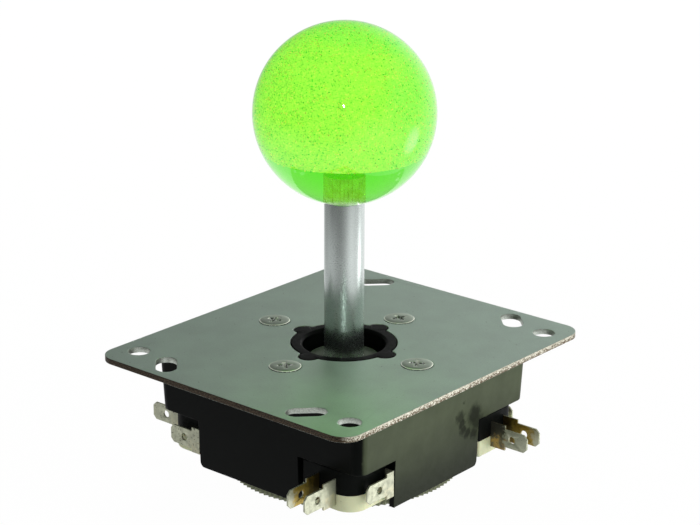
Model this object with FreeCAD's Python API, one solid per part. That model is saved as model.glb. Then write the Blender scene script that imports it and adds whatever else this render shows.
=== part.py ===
import FreeCAD, Part
import math
import os

from FreeCAD import Vector

# Arcade joystick lever, in millimetres.
# The origin is the middle of the mounting plate's top face, on the lever's axis.
# +Z points up along the lever, +X runs along the plate's short side and +Y along its long side.

# Clearances
running_gap = 0.06
slide_gap = 0.08
seat_gap = 0.1
trim_gap = 0.3
notch_gap = 0.4
end_notch_gap = 0.8
dial_play = 0.05
clip_play = 0.03

# How far a cut runs past a surface, and how far one form grows into the next
past = 1.0
grown_in = 0.5

# Largest difference between two lengths that are taken as equal
alike = 0.01

# Mounting plate
plate_x = 81.2
plate_y = 93.4
plate_thickness = 1.5
plate_corner = 5.0
panel_hole_pitch_x = 68.6
panel_hole_pitch_y = 76.4
panel_hole_diameter = 5.6
slot_pitch_x = 45.6
slot_pitch_y = 80.4
slot_length = 9.8
slot_width = 5.2

# Screws that hold the plate to the housing
plate_screw_pitch_x = 47.0
plate_screw_pitch_y = 44.2
plate_screw_diameter = 4.0
plate_screw_head = 8.0
plate_screw_length = 9.0
plate_screw_proud = 0.35
plate_screw_head_bevel = 0.6
plate_screw_tip_bevel = 0.6
plate_screw_cross = (0.9, 1.3, 4.2)
screw_head_rim = 0.25

# Housing
housing_side = 66.8
housing_corner = 3.0
housing_draft = 2.2
housing_wall = 1.4
housing_deck = 2.5
housing_depth = 29.0
foot_round = 1.4
near_foot_round = 0.4
collar_radius = 13.25
collar_bore_radius = 10.4
collar_chamfer = 0.6
collar_inner_round = 0.8
ear_radius = 2.5
ear_reach = 13.3
socket_wall = 2.7
socket_skirt = 3.6
screw_boss_radius = 4.0
screw_boss_depth = 12.0
rib_thickness = 1.8

# Pivot ball, on whose centre the lever tilts
pivot_depth = 11.0
pivot_radius = 11.5
pivot_half_height = 7.0
pivot_stem_radius = 6.0

# Actuator, a square cup under the pivot ball
actuator_half = 12.4
actuator_corner = 2.0
actuator_inner_corner = 0.4
actuator_height = 6.6
actuator_web = 1.4
actuator_wall = 1.6

# Lever
shaft_diameter = 8.0
shaft_tip_inset = 0.7
shaft_tip_chamfer = 0.6
sleeve_diameter = 10.0
tip_slot_width = 1.2
tip_slot_depth = 1.5
clip_groove_radius = 3.2
clip_radius = 6.4
clip_thickness = 0.8
clip_mouth = 4.6

# Ball top
ball_diameter = 45.0
ball_centre_height = 59.3
insert_diameter = 10.0
insert_height = 7.0
insert_roof = 1.0
insert_rib_count = 16
insert_rib_depth = 0.35

# Centring spring
spring_wire = 1.0
spring_mean_radius = 7.9
spring_turns = 3.5
spring_end_pitch = 1.15
spring_sections_per_turn = 12

# Switches, one on each side of the lever, each turned a quarter from the one before
switch_length = 27.8
switch_width = 15.9
switch_thickness = 10.3
switch_face_gap = 1.9
switch_end_inset = 0.1
switch_base_height = 4.2
switch_outer_corner = 5.0
switch_small_corner = 0.8
switch_hole_radius = 1.55
switch_hole_inset = 2.8
switch_hole_step = 10.3
switch_pin_radius = 1.5
switch_pin_length = 8.0
switch_pad_radius = 3.0

# Plungers of the switches
plunger_radius = 1.6
plunger_from_axis = 10.0
plunger_play = 0.35
plunger_length = 4.65
plunger_well = 4.7

# Terminal tabs of the switches
tab_thickness = 0.5
tab_width = 4.75
tab_root_width = 6.7
tab_blade_length = 6.7
tab_drop = 0.35
tab_chamfer = 1.0
tab_hole_radius = 0.95
tab_hole_from_tip = 4.6
tab_embed = 1.0
contact_tab_reach = 11.1
closed_tab_inset = 5.4
open_tab_inset = 10.6
common_tab_stand_off = 2.3
common_tab_from_end = 12.6
common_root_length = 2.6
common_blade_length = 7.3

# Base plate and gate dial under the housing
base_plate_gap = 1.0
base_plate_thickness = 1.8
base_trough_depth = 0.9
base_trough_outer = 18.0
spring_seat_width = 1.6
base_hole_radius = 7.6
dial_overhang = 0.3
dial_thickness = 2.65
dial_tooth_count = 120
dial_tooth_depth = 0.6
gate_half = 7.5
gate_corner = 2.0
dial_turn = 45.0

# Shoulder screws that hold the base plate and carry the dial
dial_screw_x = 24.0
dial_screw_y = 6.5
dial_screw_diameter = 3.0
dial_screw_shoulder = 4.4
dial_screw_head = 5.8
dial_screw_head_height = 1.35
dial_screw_recess = 0.2
dial_screw_thread = 8.0
dial_screw_head_bevel = 0.4
dial_screw_tip_bevel = 0.5
dial_screw_cross = (0.8, 1.0, 3.4)
dial_post_radius = 3.2

# Places that follow from the sizes above
deck_top = -plate_thickness
deck_bottom = deck_top - housing_deck
housing_bottom = -housing_depth
base_top = housing_bottom + base_plate_thickness
switch_top = base_top + switch_thickness
switch_split = base_top + switch_base_height
notch_top = switch_top + notch_gap
switch_middle = base_top + switch_thickness / 2
switch_face_from_axis = actuator_half + switch_face_gap
housing_foot_half = housing_side / 2 - (deck_top - housing_bottom) * math.tan(math.radians(housing_draft))
housing_inner_half = housing_foot_half - housing_wall
switch_end_from_axis = housing_foot_half - switch_end_inset
switch_back_from_axis = switch_face_from_axis + switch_width
pivot_centre = -pivot_depth
pivot_top = pivot_centre + pivot_half_height
pivot_bottom = pivot_centre - pivot_half_height
actuator_bottom = pivot_bottom - actuator_height
web_bottom = pivot_bottom - actuator_web
dial_top = housing_bottom - dial_play
dial_bottom = dial_top - dial_thickness
base_plate_radius = housing_inner_half - base_plate_gap
dial_radius = base_plate_radius + dial_overhang
shaft_tip = dial_bottom + shaft_tip_inset
shaft_radius = shaft_diameter / 2
ball_radius = ball_diameter / 2
sleeve_radius = sleeve_diameter / 2
ball_flat = ball_centre_height - math.sqrt(ball_radius ** 2 - sleeve_radius ** 2)
insert_top = ball_flat + insert_height
shaft_top = insert_top - insert_roof
tab_middle = switch_middle - tab_drop

SIDES = ["right", "back", "left", "front"]
UP = Vector(0, 0, 1)


def cylinder(radius, low, high, x=0.0, y=0.0):
    """Upright round bar from one height to another."""
    return Part.makeCylinder(radius, high - low, Vector(x, y, low), UP)


def box(x_low, x_high, y_low, y_high, low, high):
    """Plain block between two corners."""
    return Part.makeBox(x_high - x_low, y_high - y_low, high - low, Vector(x_low, y_low, low))


def rounded_block(x_low, x_high, y_low, y_high, low, high, radii):
    """Upright block whose four corners have their own radii, anticlockwise from the lowest x and y."""
    corners = [(x_low, y_low), (x_high, y_low), (x_high, y_high), (x_low, y_high)]
    edges = []
    ends = []
    for index, (x, y) in enumerate(corners):
        before = Vector(*corners[index - 1], low)
        after = Vector(*corners[(index + 1) % 4], low)
        point = Vector(x, y, low)
        back = (before - point).normalize() * radii[index]
        onward = (after - point).normalize() * radii[index]
        start, end = point + back, point + onward
        middle = point + (back + onward) * (1 - math.sqrt(0.5))
        ends.append((start, end))
        edges.append(Part.Arc(start, middle, end).toShape())
    for index in range(4):
        edges.append(Part.makeLine(ends[index][1], ends[(index + 1) % 4][0]))
    wire = Part.Wire(Part.__sortEdges__(edges))
    return Part.Face(wire).extrude(UP * (high - low))


def square_block(half, corner, low, high):
    """Upright square block round the lever's axis, with rounded corners."""
    return rounded_block(-half, half, -half, half, low, high, [corner] * 4)


def turned(points):
    """Solid of revolution about the lever's axis from (radius, height) points."""
    profile = Part.makePolygon([Vector(r, 0, z) for r, z in points + points[:1]])
    return Part.Face(profile).revolve(Vector(0, 0, 0), UP, 360)


def joined(first, others):
    """One solid made of a first shape and the shapes that grow out of it."""
    return first.fuse(others).removeSplitter()


def quarter_turn(shape, count):
    """Copy of a shape, turned about the lever's axis by a number of quarter turns."""
    copy = shape.copy()
    copy.rotate(Vector(0, 0, 0), UP, 90 * count)
    return copy


def all_round(shape):
    """The four copies of a shape that stand round the lever."""
    return [quarter_turn(shape, count) for count in range(4)]


def four_corners(pitch_x, pitch_y):
    """Centres of a rectangle of four holes."""
    return [(sx * pitch_x / 2, sy * pitch_y / 2) for sx in (-1, 1) for sy in (-1, 1)]


def plate_screw_centres():
    """Centres of the four screws, on the middle lines of the plate."""
    x, y = plate_screw_pitch_x / 2, plate_screw_pitch_y / 2
    return [(x, 0), (0, y), (-x, 0), (0, -y)]


# Plate and its screws

def screw_cone(extra):
    """Countersunk cone under a plate screw's head, larger by a clearance."""
    head, shank = plate_screw_head / 2 + extra, plate_screw_diameter / 2 + extra
    rim = plate_screw_proud - screw_head_rim
    return turned([(0, rim), (head, rim), (shank, rim - (head - shank)), (0, rim - (head - shank))])


def collar_outline(gap, low, high):
    """Collar with its four ears, larger by a gap where it is a cut-out."""
    ears = all_round(cylinder(ear_radius + gap, low, high, ear_reach, 0))
    outline = joined(cylinder(collar_radius + gap, low, high), ears)
    creases = []
    for edge in outline.Edges:
        centre = edge.BoundBox.Center
        upright = edge.BoundBox.ZLength > high - low - alike
        if upright and abs(math.hypot(centre.x, centre.y) - collar_radius - gap) < alike:
            creases.append(edge)
    return outline.makeFillet(collar_inner_round - gap, creases)


def make_mounting_plate():
    """Sheet steel plate with panel holes, slanted slots, screw recesses and the collar's cut-out."""
    plate = rounded_block(-plate_x / 2, plate_x / 2, -plate_y / 2, plate_y / 2,
                          deck_top, 0, [plate_corner] * 4)
    cuts = [collar_outline(trim_gap, deck_top - past, past)]
    for x, y in four_corners(panel_hole_pitch_x, panel_hole_pitch_y):
        cuts.append(cylinder(panel_hole_diameter / 2, deck_top - past, past, x, y))
    half_straight = (slot_length - slot_width) / 2
    for x, y in four_corners(slot_pitch_x, slot_pitch_y):
        slot = box(-half_straight, half_straight, -slot_width / 2, slot_width / 2, deck_top - past, past)
        slot = slot.fuse([cylinder(slot_width / 2, deck_top - past, past, end)
                          for end in (-half_straight, half_straight)])
        slot.rotate(Vector(0, 0, 0), UP, -45 if x * y > 0 else 45)
        slot.translate(Vector(x, y, 0))
        cuts.append(slot)
    for x, y in plate_screw_centres():
        hole = screw_cone(trim_gap)
        mouth = cylinder(plate_screw_head / 2 + trim_gap, plate_screw_proud - screw_head_rim, past)
        shank = cylinder(plate_screw_diameter / 2 + trim_gap, deck_top - past, 0)
        hole = hole.fuse([mouth, shank])
        hole.translate(Vector(x, y, 0))
        cuts.append(hole)
    return plate.cut(cuts)


def cross_recess(cross, top):
    """Driver recess of a (width, depth, span) cross, cut down from a head's top."""
    width, depth, span = cross
    bar = box(-span / 2, span / 2, -width / 2, width / 2, top - depth, top + past)
    return bar.fuse(quarter_turn(bar, 1))


def make_plate_screws():
    """Four countersunk screws with cross recesses, as separate solids of one group."""
    head, shank = plate_screw_head / 2, plate_screw_diameter / 2
    rim = plate_screw_proud - screw_head_rim
    dome, bevel = plate_screw_proud, plate_screw_tip_bevel
    tip = dome - plate_screw_length
    screw = turned([(0, dome), (head - plate_screw_head_bevel, dome), (head, rim),
                    (shank, rim - (head - shank)), (shank, tip + bevel), (shank - bevel, tip), (0, tip)])
    screw = screw.cut(cross_recess(plate_screw_cross, dome))
    screws = []
    for x, y in plate_screw_centres():
        copy = screw.copy()
        copy.translate(Vector(x, y, 0))
        screws.append(copy)
    return Part.makeCompound(screws)


# Housing

def socket_cut():
    """Space inside the collar and socket: a bore, a spherical seat and a straight skirt."""
    seat = pivot_radius + running_gap
    bore_low = pivot_centre + math.sqrt(seat ** 2 - collar_bore_radius ** 2)
    bore = cylinder(collar_bore_radius, bore_low - past, past)
    mouth = turned([(0, past), (collar_bore_radius + collar_chamfer + past, past),
                    (collar_bore_radius, -collar_chamfer), (0, -collar_chamfer)])
    sphere = Part.makeSphere(seat, Vector(0, 0, pivot_centre), UP, 0, 90, 360)
    skirt = cylinder(seat, pivot_centre - socket_skirt - past, pivot_centre)
    return bore.fuse([mouth, sphere, skirt])


def switch_hole_centres():
    """Mounting holes of the right-hand switch, on its diagonal."""
    outer_y = -switch_end_from_axis + switch_hole_inset
    inner_y = outer_y + switch_length - 2 * switch_hole_inset
    back_x = switch_back_from_axis - switch_hole_inset
    return [(back_x - switch_hole_step, outer_y), (back_x, inner_y)]


def switch_pins():
    """Moulded pads that bear on the right-hand switch, with the pins that locate it."""
    shapes = []
    for x, y in switch_hole_centres():
        pad = cylinder(switch_pad_radius, switch_top, deck_bottom + grown_in, x, y)
        pin = cylinder(switch_pin_radius, switch_top - switch_pin_length, switch_top + grown_in, x, y)
        shapes.append(pad.fuse(pin))
    return shapes


def corner_notches():
    """Cut-out in the walls for the right-hand switch: its end face and its back."""
    outside, inside = housing_side / 2 + past, housing_inner_half - grown_in
    low = housing_bottom - past
    end_low = switch_face_from_axis - end_notch_gap
    back_high = -switch_end_from_axis + common_tab_from_end + seat_gap
    end_notch = box(end_low, outside, -outside, -inside, low, notch_top)
    back_notch = box(inside, outside, -outside, back_high, low, notch_top)
    corner = box(inside - housing_corner, outside, -outside, housing_corner - inside, low, notch_top)
    return [end_notch, back_notch, corner]


def leaning_block():
    """Outer form of the housing: four walls that lean inwards on the way down, with rounded corners."""
    squares = []
    for half, height in ((housing_foot_half, housing_bottom), (housing_side / 2, deck_top)):
        places = [(-half, -half), (half, -half), (half, half), (-half, half)]
        corners = [Vector(x, y, height) for x, y in places]
        squares.append(Part.makePolygon(corners + corners[:1]))
    block = Part.makeLoft(squares, True, True)
    tall = housing_depth / 2
    return block.makeFillet(housing_corner, [edge for edge in block.Edges if edge.BoundBox.ZLength > tall])


def foot_edges(shell, near):
    """Lower end edges of the wall panels: the one beside the near corner, or all the others."""
    chosen = []
    for edge in shell.Edges:
        bounds = edge.BoundBox
        across = sorted((bounds.XLength, bounds.YLength))
        at_bottom = abs(bounds.ZMax - housing_bottom) < alike and bounds.ZLength < alike
        is_near = bounds.Center.x > housing_inner_half and bounds.Center.y < 0
        if at_bottom and across[0] < alike and abs(across[1] - housing_wall) < alike and is_near == near:
            chosen.append(edge)
    return chosen


def make_housing():
    """Moulded housing: a square shell with collar, ball socket, bosses, posts and locating pins."""
    outer = leaning_block()
    inside = square_block(housing_inner_half, housing_corner - housing_wall,
                          housing_bottom - past, deck_bottom)
    notches = [notch for shape in corner_notches() for notch in all_round(shape)]
    shell = outer.cut([inside] + notches)
    shell = shell.makeFillet(foot_round, foot_edges(shell, False))
    shell = shell.makeFillet(near_foot_round, foot_edges(shell, True))
    collar = collar_outline(0, deck_top - grown_in, 0)
    socket_radius = pivot_radius + socket_wall
    socket = cylinder(socket_radius, pivot_centre - socket_skirt, deck_bottom + grown_in)
    grown = [collar, socket]
    for x, y in plate_screw_centres():
        grown.append(cylinder(screw_boss_radius, -screw_boss_depth, deck_bottom + grown_in, x, y))
    rib = box(socket_radius - grown_in, housing_inner_half + grown_in, -rib_thickness / 2, rib_thickness / 2,
              -screw_boss_depth, deck_bottom + grown_in)
    post = cylinder(dial_post_radius, base_top, deck_bottom + grown_in, dial_screw_x, dial_screw_y)
    for shape in [rib, post] + switch_pins():
        grown.extend(all_round(shape))
    housing = joined(shell, [shape.common(outer.fuse(collar)) for shape in grown])
    cuts = [socket_cut()]
    screw_low = plate_screw_proud - plate_screw_length - past
    for x, y in plate_screw_centres():
        hole = cylinder(plate_screw_diameter / 2, screw_low, deck_top + past).fuse(screw_cone(0))
        hole.translate(Vector(x, y, 0))
        cuts.append(hole)
    pilot = cylinder(dial_screw_diameter / 2, base_top - past, housing_bottom + dial_screw_thread + past,
                     dial_screw_x, dial_screw_y)
    cuts.extend(all_round(pilot))
    return housing.cut(cuts)


# Base plate, gate dial and their screws

def make_base_plate():
    """Round plate that closes the switch space, with a raised seat for the spring."""
    seat_outer = base_hole_radius + spring_seat_width
    trough = base_top - base_trough_depth
    plate = turned([(base_hole_radius, housing_bottom), (base_plate_radius, housing_bottom),
                    (base_plate_radius, base_top), (base_trough_outer, base_top),
                    (base_trough_outer, trough), (seat_outer, trough),
                    (seat_outer, base_top), (base_hole_radius, base_top)])
    hole = cylinder(dial_screw_diameter / 2 + seat_gap, housing_bottom - past, base_top + past,
                    dial_screw_x, dial_screw_y)
    return plate.cut(all_round(hole))


def arc_slot(half_width, low, high):
    """Curved slot in the dial for one screw, as long as the dial's turn."""
    reach = math.hypot(dial_screw_x, dial_screw_y)
    angle = math.degrees(math.atan2(dial_screw_y, dial_screw_x))
    near, outer = reach - half_width, reach + half_width
    section = [Vector(near, 0, low), Vector(outer, 0, low), Vector(outer, 0, high), Vector(near, 0, high)]
    section = Part.Face(Part.makePolygon(section + section[:1]))
    sweep = section.revolve(Vector(0, 0, 0), UP, -dial_turn)
    ends = [cylinder(half_width, low, high, reach, 0)]
    far = ends[0].copy()
    far.rotate(Vector(0, 0, 0), UP, -dial_turn)
    slot = ends[0].fuse([sweep, far])
    slot.rotate(Vector(0, 0, 0), UP, angle)
    return slot


def make_gate_dial():
    """Knurled dial with a square gate for the lever's tip and four arc slots for its screws."""
    points = []
    for index in range(2 * dial_tooth_count):
        angle = math.pi * index / dial_tooth_count
        radius = dial_radius - dial_tooth_depth * (index % 2)
        points.append(Vector(radius * math.cos(angle), radius * math.sin(angle), dial_bottom))
    dial = Part.Face(Part.makePolygon(points + points[:1])).extrude(UP * dial_thickness)
    gate = square_block(gate_half, gate_corner, dial_bottom - past, dial_top + past)
    ceiling = dial_bottom + dial_screw_recess + dial_screw_head_height + dial_play
    pocket = arc_slot(dial_screw_head / 2 + trim_gap, dial_bottom - past, ceiling)
    neck = arc_slot(dial_screw_shoulder / 2 + seat_gap, dial_bottom, dial_top + past)
    return dial.cut([gate] + all_round(pocket.fuse(neck)))


def make_dial_screws():
    """Four shoulder screws, from the dial's pockets up into the housing's posts."""
    head, shoulder, shank = dial_screw_head / 2, dial_screw_shoulder / 2, dial_screw_diameter / 2
    low = dial_bottom + dial_screw_recess
    neck = low + dial_screw_head_height
    tip = housing_bottom + dial_screw_thread
    head_bevel, tip_bevel = dial_screw_head_bevel, dial_screw_tip_bevel
    screw = turned([(0, low), (head - head_bevel, low), (head, low + head_bevel), (head, neck),
                    (shoulder, neck), (shoulder, housing_bottom), (shank, housing_bottom),
                    (shank, tip - tip_bevel), (shank - tip_bevel, tip), (0, tip)])
    recess = cross_recess(dial_screw_cross, -low)
    recess.rotate(Vector(0, 0, 0), Vector(1, 0, 0), 180)
    screw = screw.cut(recess)
    screw.translate(Vector(dial_screw_x, dial_screw_y, 0))
    return Part.makeCompound(all_round(screw))


# Tilting pieces

def make_pivot_ball():
    """Ball with flat ends, a stem below and the shaft's bore through it."""
    bore = shaft_radius + running_gap
    ball = Part.makeSphere(pivot_radius, Vector(0, 0, pivot_centre))
    zone = ball.common(cylinder(pivot_radius + past, pivot_bottom, pivot_top))
    stem = cylinder(pivot_stem_radius, web_bottom, pivot_bottom + grown_in)
    return joined(zone, [stem]).cut(cylinder(bore, web_bottom - past, pivot_top + past))


def make_actuator():
    """Square cup whose sides press the plungers and whose web bears on the spring."""
    block = square_block(actuator_half, actuator_corner, actuator_bottom, pivot_bottom)
    hollow = square_block(actuator_half - actuator_wall, actuator_inner_corner,
                          actuator_bottom - past, web_bottom)
    return block.cut([hollow, cylinder(pivot_stem_radius, web_bottom - past, pivot_bottom + past)])


def spring_rise(turn, height):
    """Rise of the wire's centre after a number of turns: a nearly closed turn at each end."""
    from_end = min(turn, spring_turns - turn)
    if from_end <= 1:
        rise = spring_end_pitch * from_end
        return rise if turn < spring_turns / 2 else height - rise
    open_share = (turn - 1) / (spring_turns - 2)
    return spring_end_pitch + open_share * (height - 2 * spring_end_pitch)


def make_centring_spring():
    """Helical spring between the actuator's web and the base plate's seat."""
    wire = spring_wire / 2
    low, high = base_top + wire, web_bottom - wire
    sections = []
    for index in range(round(spring_turns * spring_sections_per_turn) + 1):
        turn = index / spring_sections_per_turn
        centre = Vector(spring_mean_radius, 0, low + spring_rise(turn, high - low))
        ring = Part.Wire(Part.makeCircle(wire, centre, Vector(0, 1, 0)))
        ring.rotate(Vector(0, 0, 0), UP, 360 * turn)
        sections.append(ring)
    return Part.makeLoft(sections, True, True)


# Lever, sleeve and ball top

def make_lever_shaft():
    """Steel shaft from its slotted tip to the insert in the ball top."""
    groove_high = web_bottom - seat_gap + clip_play
    groove_low = groove_high - clip_thickness - 2 * clip_play
    tip, bevel = shaft_tip, shaft_tip_chamfer
    shaft = turned([(0, tip), (shaft_radius - bevel, tip), (shaft_radius, tip + bevel),
                    (shaft_radius, groove_low), (clip_groove_radius, groove_low),
                    (clip_groove_radius, groove_high), (shaft_radius, groove_high),
                    (shaft_radius, shaft_top), (0, shaft_top)])
    slot = box(-shaft_radius - past, shaft_radius + past, -tip_slot_width / 2, tip_slot_width / 2,
               tip - past, tip + tip_slot_depth)
    return shaft.cut(slot)


def make_shaft_sleeve():
    """Bright tube round the shaft, from the pivot ball to the ball top."""
    low = pivot_top + seat_gap
    return cylinder(sleeve_radius, low, ball_flat).cut(cylinder(shaft_radius, low - past, ball_flat + past))


def make_shaft_clip():
    """Open retaining clip in the shaft's groove, under the pivot ball's stem."""
    high = web_bottom - seat_gap
    low = high - clip_thickness
    eye = cylinder(clip_groove_radius + clip_play, low - past, high + past)
    mouth = box(0, clip_radius + past, -clip_mouth / 2, clip_mouth / 2, low - past, high + past)
    return cylinder(clip_radius, low, high).cut([eye, mouth])


def make_ball_top():
    """Clear ball with a flat foot on the sleeve and a hole for its insert."""
    ball = Part.makeSphere(ball_radius, Vector(0, 0, ball_centre_height))
    foot = cylinder(ball_radius, ball_flat - ball_radius, ball_flat)
    return ball.cut([foot, cylinder(insert_diameter / 2, ball_flat - past, insert_top)])


def make_ball_insert():
    """Ribbed insert moulded into the ball, bored for the shaft's end."""
    radius = insert_diameter / 2
    insert = cylinder(radius, ball_flat, insert_top)
    groove_radius = 2 * insert_rib_depth
    groove_centre = radius - insert_rib_depth + groove_radius
    groove = cylinder(groove_radius, ball_flat + insert_roof, insert_top + past, groove_centre, 0)
    grooves = []
    for index in range(insert_rib_count):
        copy = groove.copy()
        copy.rotate(Vector(0, 0, 0), UP, 360 * index / insert_rib_count)
        grooves.append(copy)
    return insert.cut(grooves + [cylinder(shaft_radius, ball_flat - past, shaft_top)])


# Switches

def switch_block(low, high):
    """Outline of the right-hand switch between two heights, one corner well rounded."""
    inner_y = -switch_end_from_axis + switch_length
    small = switch_small_corner
    return rounded_block(switch_face_from_axis, switch_back_from_axis, -switch_end_from_axis, inner_y,
                         low, high, [small, switch_outer_corner, small, small])


def tab_outline(root, shoulder, tip):
    """Flat tab in the plane of its length and height, from root to chamfered tip, with its hole."""
    wide, slim, cut = tab_root_width / 2, tab_width / 2, tab_chamfer
    run = 1 if tip > root else -1
    sides = [(root, wide), (shoulder, wide), (shoulder, slim), (tip - run * cut, slim), (tip, slim - cut)]
    outline = sides + [(along, -height) for along, height in reversed(sides)]
    points = [Vector(0, along, tab_middle + height) for along, height in outline]
    blade = Part.Face(Part.makePolygon(points + points[:1])).extrude(Vector(tab_thickness, 0, 0))
    hole = Part.makeCylinder(tab_hole_radius, tab_thickness + 2 * past,
                             Vector(-past, tip - run * tab_hole_from_tip, tab_middle), Vector(1, 0, 0))
    return blade.cut(hole)


def contact_tab(inset):
    """Tab out of the switch's end face, a given distance from the switch's back."""
    tip = -switch_end_from_axis - contact_tab_reach
    tab = tab_outline(-switch_end_from_axis + tab_embed, tip + tab_blade_length, tip)
    tab.translate(Vector(switch_back_from_axis - inset - tab_thickness / 2, 0, 0))
    return tab


def common_tab():
    """Tab out of the switch's back, bent flat along it towards the corner."""
    plane = switch_back_from_axis + common_tab_stand_off - tab_thickness
    root = -switch_end_from_axis + common_tab_from_end
    shoulder = root - common_root_length
    blade = tab_outline(root, shoulder, shoulder - common_blade_length)
    blade.translate(Vector(plane, 0, 0))
    foot = box(switch_back_from_axis - tab_embed, plane + tab_thickness, root - tab_thickness, root,
               tab_middle - tab_root_width / 2, tab_middle + tab_root_width / 2)
    return joined(blade, [foot])


def make_plunger():
    """Round-nosed plunger of the right-hand switch, half way through its free travel."""
    nose = actuator_half + plunger_play
    bar = Part.makeCylinder(plunger_radius, plunger_length - plunger_radius,
                            Vector(nose + plunger_radius, 0, 0), Vector(1, 0, 0))
    dome = Part.makeSphere(plunger_radius, Vector(nose + plunger_radius, 0, 0))
    plunger = joined(bar, [dome])
    plunger.translate(Vector(0, -plunger_from_axis, switch_middle))
    return plunger


def make_switch_parts():
    """Pieces of the right-hand switch by name."""
    tabs = {"common_tab": common_tab(), "closed_tab": contact_tab(closed_tab_inset),
            "open_tab": contact_tab(open_tab_inset)}
    holes = [cylinder(switch_hole_radius, base_top - past, switch_top + past, x, y)
             for x, y in switch_hole_centres()]
    well = Part.makeCylinder(plunger_radius + slide_gap, plunger_well + past,
                             Vector(switch_face_from_axis - past, -plunger_from_axis, switch_middle),
                             Vector(1, 0, 0))
    cuts = holes + [well] + list(tabs.values())
    parts = {"switch_cover": switch_block(switch_split, switch_top).cut(cuts),
             "switch_base": switch_block(base_top, switch_split).cut(cuts),
             "switch_plunger": make_plunger()}
    parts.update(tabs)
    return parts


def save(name, shape):
    """Writes one piece to its own file."""
    shape.exportStep(os.path.join("parts", name + ".step"))
    solids = len(shape.Solids)
    print(f"{name:28s} solids {solids} valid {shape.isValid()} volume {shape.Volume:.1f}")


def main():
    os.makedirs("parts", exist_ok=True)
    pieces = {"mounting_plate": make_mounting_plate(), "plate_screws": make_plate_screws(),
              "housing": make_housing(), "base_plate": make_base_plate(),
              "gate_dial": make_gate_dial(), "dial_screws": make_dial_screws(),
              "pivot_ball": make_pivot_ball(), "actuator": make_actuator(),
              "centring_spring": make_centring_spring(), "lever_shaft": make_lever_shaft(),
              "shaft_sleeve": make_shaft_sleeve(), "shaft_clip": make_shaft_clip(),
              "ball_top": make_ball_top(), "ball_insert": make_ball_insert()}
    for part, shape in make_switch_parts().items():
        for count, side in enumerate(SIDES):
            pieces[side + "_" + part] = quarter_turn(shape, count)
    for name, shape in pieces.items():
        save(name, shape)


main()
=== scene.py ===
import math
import random

import bmesh
import bpy
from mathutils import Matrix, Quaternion, Vector


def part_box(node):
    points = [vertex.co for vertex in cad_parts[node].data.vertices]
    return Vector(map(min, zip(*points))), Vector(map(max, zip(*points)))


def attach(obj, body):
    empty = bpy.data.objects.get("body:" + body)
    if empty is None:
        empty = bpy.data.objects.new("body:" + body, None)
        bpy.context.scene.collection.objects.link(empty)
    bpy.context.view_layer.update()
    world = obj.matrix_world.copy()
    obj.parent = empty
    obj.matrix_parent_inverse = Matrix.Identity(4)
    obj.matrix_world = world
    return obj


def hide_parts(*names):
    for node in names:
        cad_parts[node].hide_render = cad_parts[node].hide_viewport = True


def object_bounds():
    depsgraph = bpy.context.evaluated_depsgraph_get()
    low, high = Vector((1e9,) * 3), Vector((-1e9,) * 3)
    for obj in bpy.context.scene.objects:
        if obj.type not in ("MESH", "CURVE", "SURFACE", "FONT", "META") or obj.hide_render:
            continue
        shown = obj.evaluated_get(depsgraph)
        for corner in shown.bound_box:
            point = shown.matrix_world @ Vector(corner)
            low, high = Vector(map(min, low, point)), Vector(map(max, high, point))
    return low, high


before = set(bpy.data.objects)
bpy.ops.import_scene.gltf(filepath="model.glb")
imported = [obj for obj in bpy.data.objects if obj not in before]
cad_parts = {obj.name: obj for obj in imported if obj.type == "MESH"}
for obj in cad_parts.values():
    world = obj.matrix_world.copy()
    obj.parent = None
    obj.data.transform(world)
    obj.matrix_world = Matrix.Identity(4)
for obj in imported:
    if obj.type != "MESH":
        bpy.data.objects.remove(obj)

bl_info = {
    "name": "Arcade joystick lever",
    "version": (1, 0, 0),
    "blender": (4, 5, 0),
    "location": "3D View > Sidebar > Lever",
    "description": "Finishes of the lever's solids, with its glitter ball, sleeve, screws and studio",
    "category": "Object",
}

MM = 0.001
CAD_BOX = [list(corner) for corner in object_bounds()]
SIDES = ["right", "back", "left", "front"]
JOIN_DISTANCE = 1e-6

# Plate corners and the smear on the housing's wall, in millimetres as the patterns are
PLATE_CORNER = 5.0
RIGHT_WALL_X = 32.9
# Along, height, radius and depth of each soft mark of the smear
SMUDGES = [(5.4, -13.3, 1.7, 0.7), (6.2, -15.2, 1.5, 0.8), (6.9, -17.2, 1.4, 0.8), (8.9, -18.7, 1.4, 0.8),
           (11.4, -19.4, 1.6, 0.75), (11.4, -14.3, 2.7, 0.85), (12.6, -16.6, 2.4, 0.75),
           (6.7, -9.6, 0.5, 0.6)]

# Plate screws
HEAD_RADIUS = 4.0 * MM
HEAD_HEIGHT = 0.25 * MM
TIP_CHAMFER = 0.6 * MM
# Share of the head's radius and of its height, at each ring of its dome
DOME_RINGS = [(0.93, 0.44), (0.72, 0.8), (0.4, 0.98), (0.1, 1.0)]
RECESS_LENGTH = 4.4 * MM
RECESS_WIDTH = 1.0 * MM
RECESS_DEPTH = 1.7 * MM
PAST_SURFACE = 0.5 * MM
RECESS_ROUND = 0.07 * MM
# Turn of each screw, in radians
SCREW_TURNS = (0.5, 1.15, 0.2, 0.85)

# Rounded edges of the solids
PLATE_ROUND = 0.12 * MM
SWITCH_ROUND = 0.15 * MM
TAB_ROUND = 0.06 * MM
DIAL_ROUND = 0.08 * MM
PIVOT_ROUND = 0.15 * MM

# Ball
FOOT_RIM = 0.7 * MM
FOOT_TOLERANCE = 0.01 * MM
INSERT_OVERLAP = 0.5 * MM
FLAKE_THICKNESS = 0.03 * MM
# Resin between the glitter and the flakes' centres, and over those centres
FLAKE_MARGINS = (0.25 * MM, 0.3 * MM)
GOLD_SHARE = 0.7

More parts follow.
